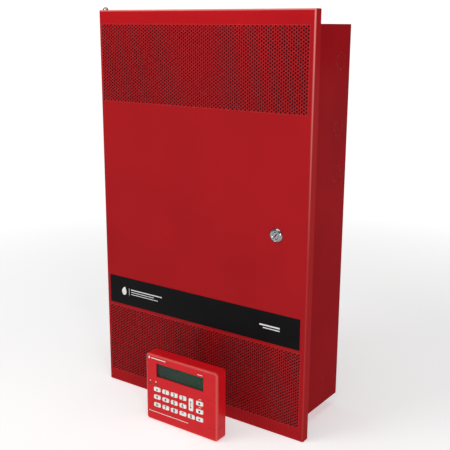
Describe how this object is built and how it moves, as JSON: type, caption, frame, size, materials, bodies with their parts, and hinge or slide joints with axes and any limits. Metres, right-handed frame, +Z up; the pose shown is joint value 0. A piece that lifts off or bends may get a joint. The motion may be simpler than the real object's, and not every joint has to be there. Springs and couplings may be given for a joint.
{
  "type": "fire alarm control panel",
  "caption": "Red steel wall cabinet with a pivoting, locked, vented door over control boards and standby batteries, and the alphanumeric keypad that operates it.",
  "frame": {"origin": "on the wall, in the middle of the cabinet's four mounting holes", "axes": "+Z up, +Y into the wall, so the door faces -Y; +X to the right as one faces the door"},
  "size_m": [0.5034, 0.2842, 0.8184],
  "materials": {
    "red_enamel_door": "satin red powder coat",
    "red_enamel_box": "satin red powder coat",
    "black_label": "satin black printed film",
    "bright_steel": "polished",
    "zinc_steel": "zinc plated",
    "white_plate": "white enamel",
    "nylon": "natural nylon",
    "board_green": "solder mask over glass epoxy",
    "terminal_green": "moulded",
    "component_black": "moulded epoxy",
    "aluminium_fin": "extruded",
    "core_steel": "varnished laminations",
    "coil_tape": "varnished tape",
    "cover_clear": "clear moulded",
    "battery_case": "moulded, textured",
    "battery_metal": "tinned",
    "lead_red": "insulated wire",
    "lead_black": "insulated wire",
    "keypad_red": "satin moulded",
    "keypad_key": "satin moulded",
    "display_dark": "liquid crystal cell",
    "clear_window": "clear moulded",
    "silicone_mat": "moulded",
    "dust_screen": "fine woven screen",
    "led_lens": "tinted"
  },
  "bodies": {
    "cabinet": {"back_box": "red_enamel_box", "upper_hinge_ear": "red_enamel_box", "lower_hinge_ear": "red_enamel_box", "lock_keeper": "red_enamel_box", "upper_pivot_pin": "bright_steel", "lower_pivot_pin": "bright_steel", "mounting_plate": "white_plate", "standoffs": "nylon", "main_board": "board_green", "expander_boards": "board_green", "terminal_strips": "terminal_green", "board_components": "component_black", "heat_sink": "aluminium_fin", "transformer_core": "core_steel", "transformer_coil": "coil_tape", "ac_terminal_block": "component_black", "battery_left": "battery_case", "battery_right": "battery_case", "battery_posts": "battery_metal", "battery_bracket": "zinc_steel", "battery_lead_red": "lead_red", "battery_lead_black": "lead_black", "battery_jumper": "lead_black", "tamper_switch": "component_black"},
    "door": {"door_pan": "red_enamel_door", "upper_vent_grille": "red_enamel_door", "lower_vent_grille": "red_enamel_door", "vent_screens": "dust_screen", "label_strip": "black_label", "lock_barrel": "bright_steel", "lock_nut": "zinc_steel"},
    "lock": {"lock_plug": "bright_steel", "lock_cam": "zinc_steel", "cam_screw": "zinc_steel"},
    "tamper_plunger": {"tamper_plunger": "keypad_key"},
    "ac_cover": {"ac_cover": "cover_clear"},
    "keypad": {"keypad_front": "keypad_red", "keypad_back": "keypad_red", "lcd_module": "display_dark", "lcd_lens": "clear_window", "keypad_board": "board_green", "key_mat": "silicone_mat", "status_leds": "led_lens"},
    "key_row1_1": {"key_row1_1": "keypad_key"},
    "key_row1_2": {"key_row1_2": "keypad_key"},
    "key_row1_3": {"key_row1_3": "keypad_key"},
    "key_row1_4": {"key_row1_4": "keypad_key"},
    "key_row2_1": {"key_row2_1": "keypad_key"},
    "key_row2_2": {"key_row2_2": "keypad_key"},
    "key_row2_3": {"key_row2_3": "keypad_key"},
    "key_row2_4": {"key_row2_4": "keypad_key"},
    "key_row3_1": {"key_row3_1": "keypad_key"},
    "key_row3_2": {"key_row3_2": "keypad_key"},
    "key_row3_3": {"key_row3_3": "keypad_key"},
    "key_row3_4": {"key_row3_4": "keypad_key"},
    "key_row3_5": {"key_row3_5": "keypad_key"},
    "key_side_1": {"key_side_1": "keypad_key"},
    "key_side_2": {"key_side_2": "keypad_key"},
    "key_side_3": {"key_side_3": "keypad_key"},
    "key_tall": {"key_tall": "keypad_key"}
  },
  "joints": [
    {"name": "door_hinge", "type": "hinge", "parent": "cabinet", "child": "door", "pos_m": [-0.24125, -0.1759, 0], "axis": [0, 0, 1], "range_deg": [-110, 0]},
    {"name": "lock_turn", "type": "hinge", "parent": "door", "child": "lock", "pos_m": [0.18285, -0.18, -0.0011], "axis": [0, 1, 0], "range_deg": [0, 90]},
    {"name": "tamper_press", "type": "slide", "parent": "cabinet", "child": "tamper_plunger", "axis": [0, 1, 0], "range_m": [0, 0.003], "stiffness_N_per_m": 400},
    {"name": "ac_cover_pull", "type": "slide", "parent": "cabinet", "child": "ac_cover", "axis": [0, -1, 0], "range_m": [0, 0.04]},
    {"name": "keypad_lift", "type": "slide", "parent": "door", "child": "keypad", "axis": [0, -1, 0], "range_m": [0, 0.12]},
    {"name": "press_row1_1", "type": "slide", "parent": "keypad", "child": "key_row1_1", "axis": [0, 1, 0], "range_m": [0, 0.0012], "stiffness_N_per_m": 350},
    {"name": "press_row1_2", "type": "slide", "parent": "keypad", "child": "key_row1_2", "axis": [0, 1, 0], "range_m": [0, 0.0012], "stiffness_N_per_m": 350},
    {"name": "press_row1_3", "type": "slide", "parent": "keypad", "child": "key_row1_3", "axis": [0, 1, 0], "range_m": [0, 0.0012], "stiffness_N_per_m": 350},
    {"name": "press_row1_4", "type": "slide", "parent": "keypad", "child": "key_row1_4", "axis": [0, 1, 0], "range_m": [0, 0.0012], "stiffness_N_per_m": 350},
    {"name": "press_row2_1", "type": "slide", "parent": "keypad", "child": "key_row2_1", "axis": [0, 1, 0], "range_m": [0, 0.0012], "stiffness_N_per_m": 350},
    {"name": "press_row2_2", "type": "slide", "parent": "keypad", "child": "key_row2_2", "axis": [0, 1, 0], "range_m": [0, 0.0012], "stiffness_N_per_m": 350},
    {"name": "press_row2_3", "type": "slide", "parent": "keypad", "child": "key_row2_3", "axis": [0, 1, 0], "range_m": [0, 0.0012], "stiffness_N_per_m": 350},
    {"name": "press_row2_4", "type": "slide", "parent": "keypad", "child": "key_row2_4", "axis": [0, 1, 0], "range_m": [0, 0.0012], "stiffness_N_per_m": 350},
    {"name": "press_row3_1", "type": "slide", "parent": "keypad", "child": "key_row3_1", "axis": [0, 1, 0], "range_m": [0, 0.0012], "stiffness_N_per_m": 350},
    {"name": "press_row3_2", "type": "slide", "parent": "keypad", "child": "key_row3_2", "axis": [0, 1, 0], "range_m": [0, 0.0012], "stiffness_N_per_m": 350},
    {"name": "press_row3_3", "type": "slide", "parent": "keypad", "child": "key_row3_3", "axis": [0, 1, 0], "range_m": [0, 0.0012], "stiffness_N_per_m": 350},
    {"name": "press_row3_4", "type": "slide", "parent": "keypad", "child": "key_row3_4", "axis": [0, 1, 0], "range_m": [0, 0.0012], "stiffness_N_per_m": 350},
    {"name": "press_row3_5", "type": "slide", "parent": "keypad", "child": "key_row3_5", "axis": [0, 1, 0], "range_m": [0, 0.0012], "stiffness_N_per_m": 350},
    {"name": "press_side_1", "type": "slide", "parent": "keypad", "child": "key_side_1", "axis": [0, 1, 0], "range_m": [0, 0.0012], "stiffness_N_per_m": 350},
    {"name": "press_side_2", "type": "slide", "parent": "keypad", "child": "key_side_2", "axis": [0, 1, 0], "range_m": [0, 0.0012], "stiffness_N_per_m": 350},
    {"name": "press_side_3", "type": "slide", "parent": "keypad", "child": "key_side_3", "axis": [0, 1, 0], "range_m": [0, 0.0012], "stiffness_N_per_m": 350},
    {"name": "press_tall", "type": "slide", "parent": "keypad", "child": "key_tall", "axis": [0, 1, 0], "range_m": [0, 0.0012], "stiffness_N_per_m": 350}
  ]
}
